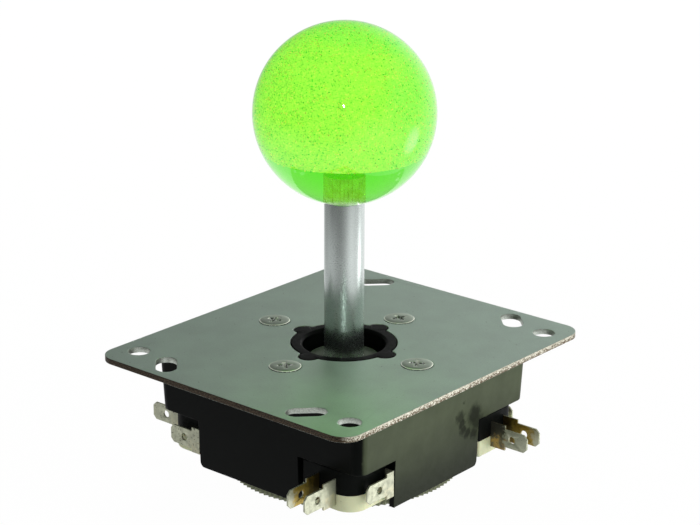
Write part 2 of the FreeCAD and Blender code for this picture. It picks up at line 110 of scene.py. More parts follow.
# Azimuth and elevation in degrees, size in metres, power in watts and colour of each lamp
LAMPS = {
    "key_light": (122, 16, 0.5, 2.6, (1.0, 1.0, 0.84)),
    "fill_light": (35, 30, 0.6, 0.6, (1.0, 1.0, 0.95)),
    "back_light": (218, 34, 0.25, 5.0, (1.0, 1.0, 0.97)),
}
LAMP_DISTANCE = 0.9
FLASH_RADIUS = 22 * MM
FLASH_POWER = 3.0
# Azimuth and elevation of each dark screen, where it begins and is full, and how dark it is
SCREENS = [(-80, 45, 0.1, 0.8, 0.86), (12, 42, 0.1, 0.8, 0.86), (118, 42, 0.4, 0.9, 0.6)]
SCREEN_DISTANCE = 1.3
# Azimuth and elevation of the flash, of the pale spot among the screens and of the room's bright side
FLASH_PLACE = (39, 25)
PALE_SPOT = (136, -22)
BRIGHT_SIDE = (130, 0)


def shade(red, green, blue):
    """Linear colour of a shade that is seen as these values from 0 to 255."""
    def channel(value):
        share = value / 255
        return share / 12.92 if share <= 0.04045 else ((share + 0.055) / 1.055) ** 2.4
    return (channel(red), channel(green), channel(blue))


def dimmed(colour, share):
    """A colour with all its channels taken down to one share."""
    return tuple(channel * share for channel in colour)


# Places that come from the solids

BALL_LOW, BALL_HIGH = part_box("ball_top")
BALL_RADIUS = (BALL_HIGH[0] - BALL_LOW[0]) / 2
BALL_CENTRE = BALL_HIGH[2] - BALL_RADIUS
INSERT_LOW, INSERT_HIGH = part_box("ball_insert")
SLEEVE_LOW, SLEEVE_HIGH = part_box("shaft_sleeve")
PLATE_LOW, PLATE_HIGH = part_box("mounting_plate")
FLOOR_HEIGHT = CAD_BOX[0][2]


# Settings that a user would change

def colour_setting(label, words, colour):
    """Colour property with its label, description and default."""
    return bpy.props.FloatVectorProperty(name=label, description=words, subtype="COLOR", size=3,
                                         min=0.0, max=1.0, default=colour)


def length_setting(label, words, millimetres):
    """Length property, given in millimetres."""
    return bpy.props.FloatProperty(name=label, description=words, unit="LENGTH", default=millimetres * MM)


class LeverBallSettings(bpy.types.PropertyGroup):
    resin: colour_setting("Resin", "Tint of the ball's clear resin", (0.52, 0.95, 0.10))
    density: bpy.props.FloatProperty(name="Density", description="Strength of the resin's tint", default=75.0)
    # The glow colour is also given to the glitter core as emission, a painted glow.
    glow: colour_setting("Glow", "Colour of the resin that the glitter floats in", shade(203, 236, 93))
    gold: colour_setting("Gold", "Colour of the bright glitter", (1.0, 0.80, 0.20))
    moss: colour_setting("Moss", "Colour of the dark glitter", shade(70, 178, 46))
    clear_layer: length_setting("Clear layer", "Depth of clear resin over the glitter", 0.9)
    clear_foot: length_setting("Clear foot", "Clear height between the insert and the glitter", 5.3)
    flake_size: length_setting("Flake size", "Width of one glitter flake", 0.36)
    flake_count: bpy.props.IntProperty(name="Flakes", default=7000,
                                       description="Flakes all round the ball, less those at its foot")


class LeverMetalSettings(bpy.types.PropertyGroup):
    zinc: colour_setting("Zinc", "Colour of the plate's plating", (0.56, 0.685, 0.61))
    rust: colour_setting("Rust", "Colour of rust on the plate's cut edge", (0.13, 0.095, 0.06))
    steel: colour_setting("Steel", "Colour of the sleeve and shaft", (0.69, 0.75, 0.73))
    screw: colour_setting("Screw", "Colour of the bright screws", (0.54, 0.64, 0.52))
    silver: colour_setting("Tinned", "Colour of the tinned side of the tabs", (0.49, 0.50, 0.38))
    brass: colour_setting("Brass", "Colour of the bare side of the tabs", (0.34, 0.24, 0.04))
    stain: colour_setting("Stain", "Colour of rust near the root of the tabs", (0.46, 0.28, 0.07))
    sleeve_edge: length_setting("Sleeve edge", "Rounding of the sleeve's ends", 0.25)


class LeverPlasticSettings(bpy.types.PropertyGroup):
    # The black is darker than the plastic's own colour, partly as painted shade; the colour for the
    # right-hand wall below is painted sheen, the light that falls on that wall.
    black: colour_setting("Black", "Colour of the housing", (0.0022, 0.0029, 0.0026))
    dusty: colour_setting("Sheen", "Colour of the housing's dusty right-hand wall", (0.084, 0.097, 0.062))
    cream: colour_setting("Cream", "Colour of the switch bases", (0.84, 0.83, 0.57))
    # The pivot ball's colour is far darker than white nylon: painted shade of the collar's bore.
    nylon: colour_setting("Nylon", "Colour of the pivot ball", (0.11, 0.125, 0.105))
    frosted: colour_setting("Frosted", "Colour of the gate dial", (0.26, 0.28, 0.16))
    edge: length_setting("Edge", "Rounding of the moulded edges", 0.18)


class LeverStageSettings(bpy.types.PropertyGroup):
    aim: bpy.props.FloatVectorProperty(name="Aim", description="Point that the camera looks at", size=3,
                                       subtype="TRANSLATION", unit="LENGTH",
                                       default=(1.09 * MM, 0.92 * MM, 21.04 * MM))
    distance: length_setting("Distance", "Camera's distance from its aim", 519.7)
    azimuth: bpy.props.FloatProperty(name="Azimuth", description="Camera's turn round the lever",
                                     subtype="ANGLE", default=math.radians(40.189))
    elevation: bpy.props.FloatProperty(name="Elevation", description="Camera's height angle",
                                       subtype="ANGLE", default=math.radians(18.794))
    roll: bpy.props.FloatProperty(name="Roll", description="Camera's turn about its own axis",
                                  subtype="ANGLE", default=math.radians(0.2578))
    lens: bpy.props.FloatProperty(name="Lens", description="Focal length in millimetres", unit="CAMERA",
                                  default=107.6587)
    floor: colour_setting("Floor", "Colour of the floor", (0.85, 0.86, 0.85))
    room: colour_setting("Room", "Tint of the soft light from all round", (0.93, 1.0, 0.92))


# Modelling by hand

def deselect():
    """Leaves object mode clean, with nothing selected."""
    if bpy.context.object is not None and bpy.context.object.mode != "OBJECT":
        bpy.ops.object.mode_set(mode="OBJECT")
    bpy.ops.object.select_all(action="DESELECT")


def added(name):
    """Names the primitive that was just added, with its place put into its mesh."""
    piece = bpy.context.object
    piece.name = name
    piece.data.name = name
    bpy.ops.object.transform_apply(location=True, rotation=True, scale=True)
    return piece


def edit(piece):
    """Opens a piece in edit mode with everything selected."""
    deselect()
    piece.select_set(True)
    bpy.context.view_layer.objects.active = piece
    bpy.ops.object.mode_set(mode="EDIT")
    bpy.ops.mesh.select_mode(type="FACE")
    bpy.ops.mesh.select_all(action="SELECT")


def pick_faces(piece, wanted):
    """Selects the faces that a test wants, in edit mode."""
    bpy.ops.mesh.select_all(action="DESELECT")
    mesh = bmesh.from_edit_mesh(piece.data)
    for face in mesh.faces:
        face.select_set(bool(wanted(face)))
    bmesh.update_edit_mesh(piece.data)


def close_edit():
    """Merges doubles, points the faces outward and goes back to object mode."""
    bpy.ops.mesh.select_all(action="SELECT")
    bpy.ops.mesh.remove_doubles(threshold=JOIN_DISTANCE)
    bpy.ops.mesh.normals_make_consistent(inside=False)
    bpy.ops.object.mode_set(mode="OBJECT")


def smooth(piece, degrees=35):
    """Smooth shading up to an angle."""
    deselect()
    piece.select_set(True)
    bpy.context.view_layer.objects.active = piece
    bpy.ops.object.shade_smooth_by_angle(angle=math.radians(degrees))


def apply_modifier(piece, modifier):
    """Applies one modifier to a piece."""
    deselect()
    piece.select_set(True)
    bpy.context.view_layer.objects.active = piece
    bpy.ops.object.modifier_apply(modifier=modifier.name)


def rounding(piece, width, segments, degrees):
    """Modifier that rounds the sharp edges of a piece."""
    modifier = piece.modifiers.new("rounding", "BEVEL")
    modifier.width = width
    modifier.segments = segments
    modifier.limit_method = "ANGLE"
    modifier.angle_limit = math.radians(degrees)
    modifier.use_clamp_overlap = False
    return modifier


def turned_bar(name, steps, sides=64):
    """Round bar about the lever's axis, extruded upward through (radius, height) steps."""
    radius, height = steps[0]
    deselect()
    bpy.ops.mesh.primitive_circle_add(vertices=sides, radius=radius, fill_type="NGON",
                                      location=(0, 0, height))
    piece = added(name)
    edit(piece)
    for next_radius, next_height in steps[1:]:
        bpy.ops.mesh.extrude_region_move(
            TRANSFORM_OT_translate={"value": (0, 0, next_height - height)})
        share = next_radius / radius
        bpy.ops.transform.resize(value=(share, share, 1), center_override=(0, 0, next_height))
        radius, height = next_radius, next_height
    close_edit()
    return piece


def copied(piece, name, turn=0.0, shift=(0, 0, 0)):
    """Copy of a piece with its own mesh, turned about the upright axis and then shifted."""
    twin = piece.copy()
    twin.data = piece.data.copy()
    twin.name = name
    twin.data.name = name
    bpy.context.collection.objects.link(twin)
    spin = Quaternion((0, 0, 1), turn).to_matrix()
    for vertex in twin.data.vertices:
        vertex.co = spin @ vertex.co + Vector(shift)
    return twin


def cut_away(piece, tool):
    """Cuts a tool out of a piece and removes the tool."""
    cut = piece.modifiers.new("cut", "BOOLEAN")
    cut.operation = "DIFFERENCE"
    cut.solver = "EXACT"
    cut.object = tool
    apply_modifier(piece, cut)
    bpy.data.objects.remove(tool, do_unlink=True)


def joined_smooth_group():
    """Node group that joins a solid's loose triangles and shades them smooth."""
    name = "joined_smooth"
    if name in bpy.data.node_groups:
        return bpy.data.node_groups[name]
    group = bpy.data.node_groups.new(name, "GeometryNodeTree")
    group.interface.new_socket("Geometry", in_out="INPUT", socket_type="NodeSocketGeometry")
    group.interface.new_socket("Geometry", in_out="OUTPUT", socket_type="NodeSocketGeometry")
    source = group.nodes.new("NodeGroupInput")
    merge = group.nodes.new("GeometryNodeMergeByDistance")
    merge.inputs["Distance"].default_value = JOIN_DISTANCE
    plain = group.nodes.new("GeometryNodeRemoveAttribute")
    plain.inputs["Name"].default_value = "custom_normal"
    soft = group.nodes.new("GeometryNodeSetShadeSmooth")
    result = group.nodes.new("NodeGroupOutput")
    chain = [source, merge, plain, soft, result]
    for before, after in zip(chain, chain[1:]):
        group.links.new(before.outputs["Geometry"], after.inputs["Geometry"])
    return group


def soften(node, width):
    """Live rounding of a solid's sharp edges, with even shading on its flat faces."""
    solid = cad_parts[node]
    joining = solid.modifiers.new("joined", "NODES")
    joining.node_group = joined_smooth_group()
    rounding(solid, width, 2, 35)
    shading = solid.modifiers.new("shading", "WEIGHTED_NORMAL")
    shading.keep_sharp = False


def dress(node, finish, width=None):
    """Gives a solid its finish and, where a width is given, its rounded edges."""
    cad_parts[node].material_slots[0].material = finish
    if width:
        soften(node, width)


# Finishes

class Nodes:
    """A tree of shader nodes, with short ways to add to it."""

    def __init__(self, tree):
        self.tree = tree

    def feed(self, socket, value):
        """Links a socket to another, or sets its value."""
        if isinstance(value, bpy.types.NodeSocket):
            self.tree.links.new(value, socket)
        elif isinstance(value, tuple) and len(value) == 3 and len(socket.default_value) == 4:
            socket.default_value = (*value, 1.0)
        else:
            socket.default_value = value

    def node(self, kind, inputs, **settings):
        """New node with its settings and inputs."""
        node = self.tree.nodes.new(kind)
        for key, value in settings.items():
            setattr(node, key, value)
        for key, value in inputs.items():
            self.feed(node.inputs[key], value)
        return node

    def calc(self, operation, first, second=0.0):
        """Result of a sum on two numbers."""
        return self.node("ShaderNodeMath", {0: first, 1: second}, operation=operation).outputs[0]

    def measure(self, operation, first, second=(0.0, 0.0, 0.0)):
        """Number that two vectors give, such as their distance or dot product."""
        return self.node("ShaderNodeVectorMath", {0: first, 1: second}, operation=operation).outputs["Value"]

    def seen_rays(self):
        """1 for rays that the camera sends, directly or through clear and shiny surfaces."""
        path = self.node("ShaderNodeLightPath", {})
        seen = path.outputs["Is Camera Ray"]
        for kind in ("Is Glossy Ray", "Is Transmission Ray"):
            seen = self.calc("MAXIMUM", seen, path.outputs[kind])
        return seen

    def mixed(self, share, first, second):
        """Mix of two shaders."""
        mix = self.node("ShaderNodeMixShader", {0: share, 1: first.outputs[0], 2: second.outputs[0]})
        return mix.outputs[0]


class Finish(Nodes):
    """A material, whose patterns are in millimetres of the object's space."""

    def __init__(self, name, **values):
        self.material = bpy.data.materials.new(name)
        self.material.use_nodes = True
        super().__init__(self.material.node_tree)
        self.shader = self.tree.nodes["Principled BSDF"]
        self.place = self.node("ShaderNodeTexCoord", {})
        self.coords = self.node("ShaderNodeVectorMath", {0: self.place.outputs["Object"], "Scale": 1 / MM},
                                operation="SCALE").outputs[0]
        self.set(**values)

    def set(self, **values):
        """Sets the shader's sockets: base_color sets Base Color, and so on."""
        for key, value in values.items():
            label = key.replace("_", " ").title().replace("Ior", "IOR")
            self.feed(self.shader.inputs[label], value)

    def output(self, **values):
        """Sets the material's own sockets, surface or volume."""
        for key, value in values.items():
            self.feed(self.tree.nodes["Material Output"].inputs[key.title()], value)

    def axis(self, letter, vector=None):
        """One coordinate of a vector, which is the place in millimetres unless another is given."""
        parts = self.node("ShaderNodeSeparateXYZ", {0: vector or self.coords})
        return parts.outputs[letter]

    def normal(self):
        """Direction that the surface faces, in the object's space."""
        return self.place.outputs["Normal"]

    def turned(self, vector, angle):
        """A vector turned about the lever's axis."""
        return self.node("ShaderNodeVectorRotate", {"Vector": vector, "Angle": angle},
                         rotation_type="Z_AXIS").outputs[0]

    def stretched(self, scale):
        """The place in millimetres, scaled by its own share along each axis."""
        return self.node("ShaderNodeMapping", {"Vector": self.coords, "Scale": scale}).outputs[0]

    def noise(self, scale, detail=3.0, vector=None, roughness=0.55):
        """Soft noise with so many waves per millimetre."""
        return self.node("ShaderNodeTexNoise", {"Vector": vector or self.coords, "Scale": scale,
                                                "Detail": detail, "Roughness": roughness}).outputs[0]

    def cells(self, scale):
        """Cells with so many points per millimetre."""
        return self.node("ShaderNodeTexVoronoi", {"Vector": self.coords, "Scale": scale})

    def step(self, value, low, high, to_low=0.0, to_high=1.0):
        """Smooth change from one number to another while a value goes from low to high."""
        return self.node("ShaderNodeMapRange", {"Value": value, "From Min": low, "From Max": high,
                                                "To Min": to_low, "To Max": to_high},
                         interpolation_type="SMOOTHSTEP").outputs[0]

    def blend(self, share, first, second, mode="MIX"):
        """Mix of two colours."""
        mix = self.node("ShaderNodeMix", {}, data_type="RGBA", blend_type=mode)
        self.feed(mix.inputs["Factor"], share)
        self.feed(mix.inputs[6], first)
        self.feed(mix.inputs[7], second)
        return mix.outputs[2]

    def bump(self, height, distance, strength=1.0):
        """Small relief, its depth in millimetres."""
        relief = self.node("ShaderNodeBump", {"Height": height, "Distance": distance * MM,
                                              "Strength": strength})
        self.set(normal=relief.outputs[0])


def zinc_finish(metal):
    """Zinc plated sheet: satin faces with a few specks, darkened towards one side by painted shade, and
    sheared edges, pale and speckled where they face along X and dark rust brown in painted shade where they
    face along Y.
    """
    zinc = Finish("zinc_plate", metallic=0.88)
    cloud = zinc.noise(0.09, 4)
    grain = zinc.noise(2.6, 5)
    tone = zinc.calc("ADD", zinc.step(cloud, 0.3, 0.7, 0.93, 1.04), zinc.step(grain, 0.25, 0.75, -0.05, 0.05))
    # Painted shade: the plated faces get darker towards the -X, -Y side.
    along = zinc.measure("DOT_PRODUCT", zinc.coords, (0.76, 0.65, 0.0))
    tone = zinc.calc("MULTIPLY", tone, zinc.step(along, -38.0, 26.0, 0.93, 1.0))
    face = zinc.blend(1.0, tuple(metal.zinc), tone, "MULTIPLY")
    speck = zinc.step(zinc.noise(1.1, 2), 0.715, 0.75)
    face = zinc.blend(zinc.calc("MULTIPLY", speck, 0.75), face, (0.10, 0.11, 0.09))
    upright = zinc.step(zinc.calc("ABSOLUTE", zinc.axis("Z", zinc.normal())), 0.75, 0.45)
    outside = plate_rim(zinc)
    fine = zinc.noise(2.4, 5, zinc.stretched((1.0, 1.0, 1.5)))
    rise = zinc.calc("ADD", fine, zinc.calc("MULTIPLY", zinc.axis("Z"), 0.13))
    shear = zinc.blend(zinc.step(rise, 0.33, 0.47), tuple(metal.rust), (0.60, 0.58, 0.48))
    shear = zinc.blend(zinc.step(fine, 0.56, 0.66, 0.0, 0.55), shear, (0.90, 0.90, 0.82))
    # Painted shade: sheared edges that face along Y become very dark rust brown, and only those that face
    # along X keep the pale speckled shear.
    across = zinc.step(zinc.calc("ABSOLUTE", zinc.axis("X", zinc.normal())), 0.45, 0.85)
    brown = zinc.blend(zinc.step(fine, 0.4, 0.6), (0.016, 0.012, 0.008), (0.085, 0.062, 0.042))
    shear = zinc.blend(across, brown, shear)
    hole = zinc.blend(zinc.step(fine, 0.4, 0.6), (0.40, 0.43, 0.39), (0.56, 0.60, 0.55))
    wall = zinc.blend(outside, hole, shear)
    zinc.set(base_color=zinc.blend(upright, face, wall))
    zinc.set(roughness=zinc.step(cloud, 0.3, 0.7, 0.43, 0.49))
    zinc.bump(zinc.calc("ADD", grain, zinc.calc("MULTIPLY", fine, upright)), 0.012)
    return zinc.material


def plate_rim(zinc):
    """1 on the plate's outer edge, from the distance to its rounded outline."""
    beyond = []
    for letter, half in (("X", PLATE_HIGH[0] / MM), ("Y", PLATE_HIGH[1] / MM)):
        along = zinc.calc("ABSOLUTE", zinc.axis(letter))
        beyond.append(zinc.calc("MAXIMUM", zinc.calc("SUBTRACT", along, half - PLATE_CORNER), 0.0))
    squares = [zinc.calc("MULTIPLY", value, value) for value in beyond]
    reach = zinc.calc("SQRT", zinc.calc("ADD", *squares))
    return zinc.step(reach, PLATE_CORNER - 0.5, PLATE_CORNER - 0.25)


def moulded_finish(name, colour, rough=0.38, dusty=None):
    """Moulded plastic with a faint orange-peel skin and light wear, and if wanted a painted sheen on its
    right-hand wall, fading towards the bottom, with a dark smear on it.
    """
    plastic = Finish(name, specular_ior_level=0.045)
    skin = plastic.noise(0.9, 3)
    fine = plastic.noise(9.0, 2)
    dust = plastic.step(plastic.noise(0.35, 5), 0.52, 0.75)
    tone = plastic.blend(plastic.calc("MULTIPLY", dust, 0.22), colour,
                         tuple(channel * 1.6 + 0.001 for channel in colour))
    rough_value = plastic.step(skin, 0.3, 0.7, rough - 0.05, rough + 0.06)
    if dusty:
        # Painted sheen: the right-hand wall gets a pale tone for the light that falls on it, fading towards
        # its bottom; the smudges on it are marks of its own.
        wall = plastic.step(plastic.axis("X", plastic.normal()), 0.80, 0.97)
        wall = plastic.calc("MULTIPLY", wall, plastic.step(plastic.axis("X"), 28.0, 30.0))
        film = plastic.step(plastic.noise(0.16, 5), 0.25, 0.75, 0.80, 1.0)
        low = plastic.step(plastic.axis("Z"), -8.0, -30.0, 1.0, 0.24)
        painted_sheen_share = plastic.calc("MULTIPLY", plastic.calc("MULTIPLY", wall, film), low)
        tone = plastic.blend(painted_sheen_share, tone, dusty)
        marks = plastic.calc("MULTIPLY", smudge_marks(plastic), wall)
        tone = plastic.blend(marks, tone, (0.012, 0.0135, 0.010))
        rough_value = plastic.calc("ADD", rough_value, plastic.calc("MULTIPLY", marks, 0.22))
    plastic.set(base_color=tone, roughness=rough_value)
    plastic.bump(plastic.calc("ADD", skin, plastic.calc("MULTIPLY", fine, 0.25)), 0.02, 0.5)
    return plastic.material


def smudge_marks(plastic):
    """Curled dark smear and a small spot on the housing's right-hand wall."""
    wobble = plastic.step(plastic.noise(0.7, 4), 0.25, 0.75, -0.45, 0.45)
    marks = None
    for along, height, radius, depth in SMUDGES:
        spot = plastic.measure("DISTANCE", plastic.coords, (RIGHT_WALL_X, along, height))
        mark = plastic.step(plastic.calc("ADD", spot, wobble), radius * 1.35, radius * 0.5, 0.0, depth)
        marks = mark if marks is None else plastic.calc("MAXIMUM", marks, mark)
    return marks


def cream_finish(plastic_settings):
    """Cream moulding of the switch bases, softly clouded, with a few brown specks."""
    cream = Finish("switch_cream", specular_ior_level=0.45, roughness=0.42, subsurface_weight=0.1)
    cream.set(subsurface_scale=0.6 * MM)
    cloud = cream.noise(0.25, 4)
    warm = tuple(plastic_settings.cream)
    tone = cream.blend(cream.step(cloud, 0.35, 0.75), warm, dimmed(warm, 0.86))
    speck = cream.step(cream.noise(1.3, 2), 0.72, 0.75)
    cream.set(base_color=cream.blend(cream.calc("MULTIPLY", speck, 0.6), tone, (0.16, 0.14, 0.08)))
    cream.bump(cream.noise(1.2, 3), 0.015, 0.5)
    return cream.material


def nylon_finish(plastic_settings):
    """Smooth greased nylon, its colour held dark as painted shade of the collar's bore."""
    nylon = Finish("white_nylon", roughness=0.22, specular_ior_level=0.6)
    ring = nylon.noise(0.5, 4)
    pale = tuple(plastic_settings.nylon)
    nylon.set(base_color=nylon.blend(nylon.step(ring, 0.3, 0.7), pale, dimmed(pale, 0.88)))
    nylon.bump(nylon.noise(1.5, 2), 0.01, 0.4)
    return nylon.material


def frosted_finish(plastic_settings):
    """Frosted clear dial, greyer in random patches of dirt, and darker everywhere inward of the tips of its
    teeth.
    """
    dial = Finish("frosted_dial", roughness=0.34, transmission_weight=0.25, ior=1.49)
    dirt = dial.step(dial.noise(0.5, 5), 0.4, 0.7)
    clear = tuple(plastic_settings.frosted)
    radius = dial.measure("LENGTH", dial.stretched((1, 1, 0)))
    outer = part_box("gate_dial")[1][0] / MM
    # Darker everywhere inward of the tips of the teeth.
    valley = dial.step(radius, outer - 0.15, outer - 0.55)
    tone = dial.blend(dial.calc("MULTIPLY", dirt, 0.35), clear, dimmed(clear, 0.5))
    dial.set(base_color=dial.blend(dial.calc("MULTIPLY", valley, 0.6), tone, dimmed(clear, 0.4)))
    dial.bump(dial.noise(1.8, 3), 0.015, 0.5)
    return dial.material


def metal_finish(name, colour, rough, mark=(1.0, 1.0, 1.0), even=0.86, relief=0.0015):
    """Turned or drawn metal, with fine lines across the way it was worked."""
    metal = Finish(name, metallic=1.0)
    lines = metal.noise(4.0, 3, metal.stretched(mark))
    cloud = metal.noise(0.3, 4)
    tone = metal.blend(metal.step(cloud, 0.3, 0.75), colour, dimmed(colour, even))
    metal.set(base_color=tone, roughness=metal.step(lines, 0.3, 0.7, rough - 0.04, rough + 0.05))
    metal.bump(lines, relief, 0.5)
    return metal.material


def screw_finish(colour):
    """Bright zinc screw with a painted highlight on its rim, and painted shade broken by painted glints in
    its cross.
    """
    screw = Finish("bright_screw")
    speck = screw.step(screw.noise(1.6, 3), 0.66, 0.7, 0.0, 0.5)
    face = screw.blend(speck, colour, (0.06, 0.055, 0.04))
    upward = screw.axis("Z", screw.normal())
    # Painted light: a pale painted highlight on the rim, and painted shade with painted glints on the cross's
    # walls.
    painted_light_mask = screw.step(upward, 0.975, 0.90)
    glint = screw.step(screw.noise(2.2, 2), 0.54, 0.60)
    cross = screw.blend(glint, (0.09, 0.10, 0.09), (0.95, 0.97, 0.98))
    wall = screw.blend(screw.step(upward, 0.7, 0.5), (0.90, 0.91, 0.84), cross)
    screw.set(base_color=screw.blend(painted_light_mask, face, wall))
    screw.set(metallic=screw.step(painted_light_mask, 0.0, 1.0, 1.0, 0.25), roughness=0.3)
    return screw.material


def tab_finish(name, metal, turn, gold_side, root, reach, specks, stained):
    """Tab that is tinned on one side and bare brass on the other, rusty or black near its root."""
    tab = Finish(name, metallic=0.6)
    placed = tab.turned(tab.coords, -turn)
    facing = tab.axis("X", tab.turned(tab.normal(), -turn))
    gold = tab.step(tab.calc("MULTIPLY", facing, gold_side), -0.1, 0.35)
    out = tab.calc("SUBTRACT", root, tab.axis("Y", placed))
    cloud = tab.noise(0.8, 5)
    wave = tab.step(cloud, 0.3, 0.7, -0.9, 0.9)
    at = tab.calc("ADD", out, wave)
    bare = tab.blend(tab.step(at, reach * 0.72, reach * 0.92), tuple(metal.brass), tuple(metal.silver))
    bare = tab.blend(tab.step(at, reach * 0.52, reach * 0.12, 0.0, 0.95), bare, (0.05, 0.032, 0.008))
    tinned = tab.blend(tab.step(cloud, 0.45, 0.7, 0.0, 0.4), tuple(metal.silver), (0.30, 0.30, 0.24))
    rusty = tab.blend(tab.step(tab.noise(1.0, 5), 0.38, 0.62), tuple(metal.stain), (0.14, 0.11, 0.07))
    rising = tab.calc("ADD", tab.axis("Z"), wave)
    rusty = tab.blend(tab.step(rising, -23.4, -22.0), rusty, (0.035, 0.03, 0.022))
    tinned = tab.blend(tab.step(at, reach * 0.44, reach * 0.32, 0.0, stained), tinned, rusty)
    tone = tab.blend(gold, tinned, bare)
    speck = tab.step(tab.noise(2.2, 3), 0.70 - specks, 0.73 - specks)
    tone = tab.blend(tab.calc("MULTIPLY", speck, 0.85), tone, (0.04, 0.035, 0.025))
    tab.set(base_color=tone, roughness=tab.step(cloud, 0.3, 0.7, 0.30, 0.46))
    tab.bump(tab.noise(1.4, 4), 0.02, 0.6)
    return tab.material


def resin_finish(ball):
    """Clear resin of the ball, greener the deeper one looks into it."""
    resin = Finish("green_resin", roughness=0.0, transmission_weight=1.0, ior=1.03)
    resin.set(coat_weight=1.0, coat_roughness=0.015, coat_ior=1.5)
    wave = resin.step(resin.noise(0.05, 2), 0.35, 0.65, 0.0, 0.3)
    resin.set(base_color=resin.blend(wave, (0.46, 0.955, 0.36), (0.43, 0.945, 0.33)))
    depth = resin.node("ShaderNodeVolumeAbsorption", {"Color": tuple(ball.resin), "Density": ball.density})
    resin.output(volume=depth.outputs[0])
    return resin.material


def glitter_finish(ball):
    """Glitter floating in green resin with a painted glow, as it shows through the clear layer; towards the
    brightly lit side and the top it is painted a paler mint, with less dark glitter on the lit side.
    """
    core = Finish("glitter_core", roughness=0.4, specular_ior_level=0.3)
    fine = core.cells(2.9)
    draw = core.axis("X", fine.outputs["Color"])
    dot = core.step(fine.outputs["Distance"], 0.62, 0.30)
    grain = core.step(core.noise(1.9, 3, roughness=0.7), 0.3, 0.7)
    large = core.cells(1.5)
    pick = core.axis("Y", large.outputs["Color"])
    blob = core.step(large.outputs["Distance"], 0.46, 0.2)
    # Painted light: towards the brightly lit +X +Y side the core turns a paler mint, with fewer dark flecks
    # and more gold ones.
    side = core.measure("DOT_PRODUCT", core.coords, (0.034, 0.029, 0.0))
    cloud = core.step(core.noise(0.10, 4), 0.3, 0.7, -0.14, 0.14)
    painted_side_light = core.calc("ADD", side, cloud)
    glow = tuple(ball.glow)
    painted_mint_light = tuple(value * share for value, share in zip(glow, (0.55, 0.93, 1.35)))
    tone = core.blend(core.step(painted_side_light, 0.25, 0.75, 0.0, 0.55), glow, painted_mint_light)
    # Painted light: the top of the core is tinted mint as well.
    height = core.calc("SUBTRACT", core.axis("Z"), BALL_CENTRE / MM)
    painted_top_light = core.step(core.calc("ADD", height, core.calc("MULTIPLY", painted_side_light, 4.0)), 17.5, 20.0, 0.0, 0.55)
    tone = core.blend(painted_top_light, tone, painted_mint_light)
    shady = tuple(value * share for value, share in zip(glow, (0.62, 0.82, 0.62)))
    tone = core.blend(core.calc("MULTIPLY", grain, 0.5), tone, shady)
    moss_from = core.calc("ADD", 0.52, core.calc("MULTIPLY", painted_side_light, 0.22))
    moss = core.calc("MULTIPLY", core.step(core.calc("SUBTRACT", draw, moss_from), 0.0, 0.05), dot)
    tone = core.blend(core.calc("MULTIPLY", moss, 0.5), tone, tuple(ball.moss))
    gold_to = core.calc("ADD", 0.20, core.calc("MULTIPLY", painted_side_light, 0.14))
    gold = core.calc("MULTIPLY", core.step(core.calc("SUBTRACT", gold_to, draw), 0.0, 0.05), dot)
    tone = core.blend(core.calc("MULTIPLY", gold, 0.55), tone, tuple(ball.gold))
    deep = core.calc("MULTIPLY", core.step(core.calc("SUBTRACT", pick, painted_side_light), 0.80, 0.86), blob)
    tone = core.blend(core.calc("MULTIPLY", deep, 0.5), tone, tuple(ball.moss))
    # The emission is a painted glow that keeps the whole core evenly bright.
    core.set(base_color=tone, emission_color=tone, emission_strength=0.5)
    return core.material


def flake_finish(name, colour, glow):
    """Foil of one glitter colour, with a painted glow of that colour."""
    flake = Finish(name, metallic=0.85, roughness=0.22, emission_strength=glow)
    tone = flake.blend(flake.step(flake.noise(0.4, 2), 0.3, 0.7), colour, dimmed(colour, 0.8))
    flake.set(base_color=tone, emission_color=tone)
    return flake.material


def insert_finish():
    """Knurled brass insert, seen through the green resin."""
    insert = Finish("ball_insert", metallic=0.9)
    tone = insert.blend(insert.step(insert.noise(0.6, 3), 0.3, 0.7), (1.0, 0.88, 0.42), (0.86, 0.70, 0.30))
    insert.set(base_color=tone)
    insert.set(roughness=insert.step(insert.noise(2.0, 2), 0.3, 0.7, 0.2, 0.32))
    return insert.material


# Operators, one for each piece or group of like pieces

class LEVER_OT_plate(bpy.types.Operator):
    """Give the mounting plate its zinc finish and broken edges"""
    bl_idname = "lever.plate"
    bl_label = "Mounting plate"

    def execute(self, context):
        dress("mounting_plate", zinc_finish(context.scene.lever_metal), PLATE_ROUND)
        return {"FINISHED"}


